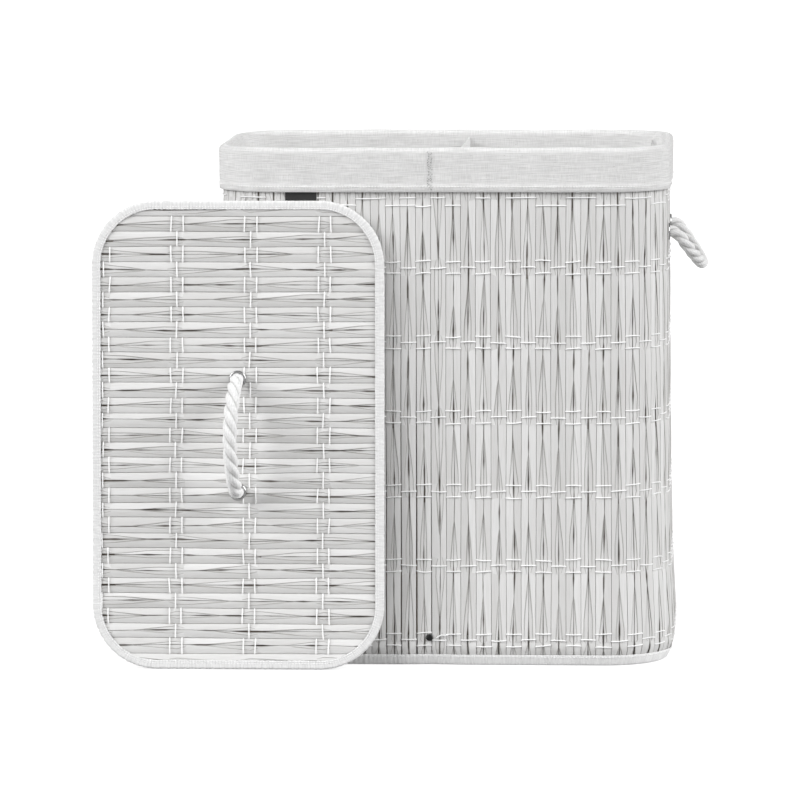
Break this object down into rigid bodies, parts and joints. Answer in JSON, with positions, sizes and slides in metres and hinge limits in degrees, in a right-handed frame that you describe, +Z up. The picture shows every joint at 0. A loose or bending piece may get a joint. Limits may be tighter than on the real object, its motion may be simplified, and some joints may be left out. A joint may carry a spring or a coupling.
{
  "type": "laundry hamper with two bins",
  "caption": "Folding laundry hamper of tied slats with a lift-out divided cloth liner, rope handles and a loose lid of the same slats that leans on its front.",
  "frame": {"origin": "middle of the hamper's footprint on the floor, on the underside of the floor cloth", "axes": "+Z up, +X to the hamper's right seen from the front, -Y the front that the lid leans on"},
  "size_m": [0.7078, 0.419, 0.5997],
  "materials": {
    "slats": "matt light grey stain over thin flat slats",
    "lining_cloth": "plain non-woven cloth",
    "linen": "plain weave with flecks, pale warm grey",
    "binding_tape": "white woven tape",
    "rope": "white three-strand cotton rope",
    "eyelet": "bright nickel plate",
    "rim_wire": "drawn wire",
    "black_plastic": "black moulded",
    "board": "brown hardboard",
    "batten": "planed softwood",
    "tag": "plain black woven tape"
  },
  "bodies": {
    "sleeve": {"slat_sleeve": "slats", "sleeve_lining": "lining_cloth", "rim_binding": "binding_tape", "foot_binding": "binding_tape", "rim_wire_right": "rim_wire", "rim_wire_left": "rim_wire", "rim_joint_front": "rim_wire", "rim_joint_rear": "rim_wire", "floor_cloth": "lining_cloth", "base_board_right": "board", "base_board_left": "board", "board_hinge_tape": "lining_cloth", "base_batten": "batten", "base_rivet_front": "black_plastic", "base_rivet_rear": "black_plastic", "right_eyelet_front": "eyelet", "right_washer_front": "eyelet", "right_knot_front": "rope", "right_eyelet_rear": "eyelet", "right_washer_rear": "eyelet", "right_knot_rear": "rope", "left_eyelet_front": "eyelet", "left_washer_front": "eyelet", "left_knot_front": "rope", "left_eyelet_rear": "eyelet", "left_washer_rear": "eyelet", "left_knot_rear": "rope"},
    "liner": {"liner_cuff": "linen", "liner_walls": "linen", "liner_floor": "linen", "liner_divider": "linen", "cuff_tag": "tag"},
    "lid": {"lid_slats": "slats", "lid_board": "board", "lid_backing": "lining_cloth", "lid_binding": "binding_tape", "lid_eyelet_lower": "eyelet", "lid_washer_lower": "eyelet", "lid_knot_lower": "rope", "lid_eyelet_upper": "eyelet", "lid_washer_upper": "eyelet", "lid_knot_upper": "rope"},
    "lid_handle": {"lid_handle_rope": "rope"},
    "right_handle": {"right_handle_rope": "rope"},
    "left_handle": {"left_handle_rope": "rope"}
  },
  "joints": [
    {"name": "liner_lift", "type": "slide", "parent": "sleeve", "child": "liner", "axis": [0, 0, 1], "range_m": [0, 0.58]},
    {"name": "lid_lift", "type": "slide", "parent": "sleeve", "child": "lid", "axis": [0, -0.5, 0.866], "range_m": [0, 0.45]},
    {"name": "lid_handle_swing", "type": "hinge", "parent": "lid", "child": "lid_handle", "pos_m": [-0.2345, -0.19698, 0.27064], "axis": [0, 0.0612, 0.9981], "range_deg": [-65, 65]},
    {"name": "right_handle_swing", "type": "hinge", "parent": "sleeve", "child": "right_handle", "pos_m": [0.26843, 0, 0.496], "axis": [0, -1, 0], "range_deg": [0, 130]},
    {"name": "left_handle_swing", "type": "hinge", "parent": "sleeve", "child": "left_handle", "pos_m": [-0.26843, 0, 0.496], "axis": [0, 1, 0], "range_deg": [0, 130]}
  ]
}
